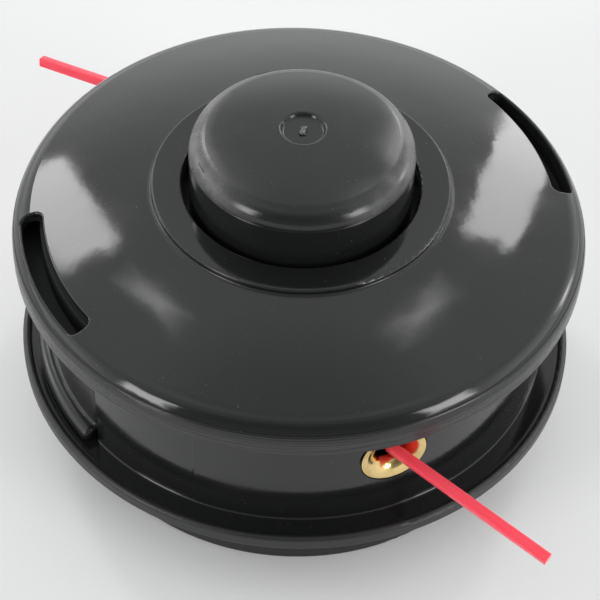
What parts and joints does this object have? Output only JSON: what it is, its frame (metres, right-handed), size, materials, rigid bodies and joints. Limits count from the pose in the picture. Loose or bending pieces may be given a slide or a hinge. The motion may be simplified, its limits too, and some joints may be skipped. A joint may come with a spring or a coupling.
{
  "type": "bump feed trimmer head",
  "caption": "Round bump feed trimmer head: domed cover and press-in bump knob over a flanged drum, brass line eyelets, square line, spool and feed spring inside.",
  "frame": {"origin": "on the drive axis at the machine face, the foot of the base ring that the head stands on", "axes": "+Z along the drive axis towards the bump knob, X through the latch tabs, the front eyelet near -Y"},
  "size_m": [0.1304, 0.1906, 0.0841],
  "materials": {
    "cover_black": "glossy black nylon",
    "housing_black": "smooth black nylon",
    "knob_black": "satin black nylon, scuffed on its rounded edge",
    "spool_black": "plain satin black nylon",
    "line_red": "satin red nylon",
    "eyelet_brass": "polished brass",
    "steel_plain": "zinc-plated steel",
    "steel_spring": "drawn spring steel"
  },
  "bodies": {
    "housing": {"housing": "housing_black", "cover": "cover_black", "eyelet_front": "eyelet_brass", "eyelet_rear": "eyelet_brass", "line_end_front": "line_red", "line_end_rear": "line_red", "drive_nut": "steel_plain", "nut_retaining_ring": "steel_plain", "spring_seat_washer": "steel_plain", "feed_spring": "steel_spring"},
    "carrier": {"thrust_washer": "steel_plain"},
    "spool": {"spool": "spool_black", "bump_knob": "knob_black", "line_winding_lower": "line_red", "line_winding_upper": "line_red"}
  },
  "joints": [
    {"name": "bump_press", "type": "slide", "parent": "housing", "child": "carrier", "axis": [0, 0, -1], "range_m": [0, 0.008], "stiffness_N_per_m": 2400, "springref_m": -0.012, "deforming": ["feed_spring"]},
    {"name": "spool_index", "type": "hinge", "parent": "carrier", "child": "spool", "pos_m": [0, 0, 0.0423], "axis": [0, 0, 1], "range_deg": [0, 22.5]}
  ],
  "couplings": [
    {"joint": "spool_index", "follows": "bump_press", "rad_per_m": 49.087}
  ]
}
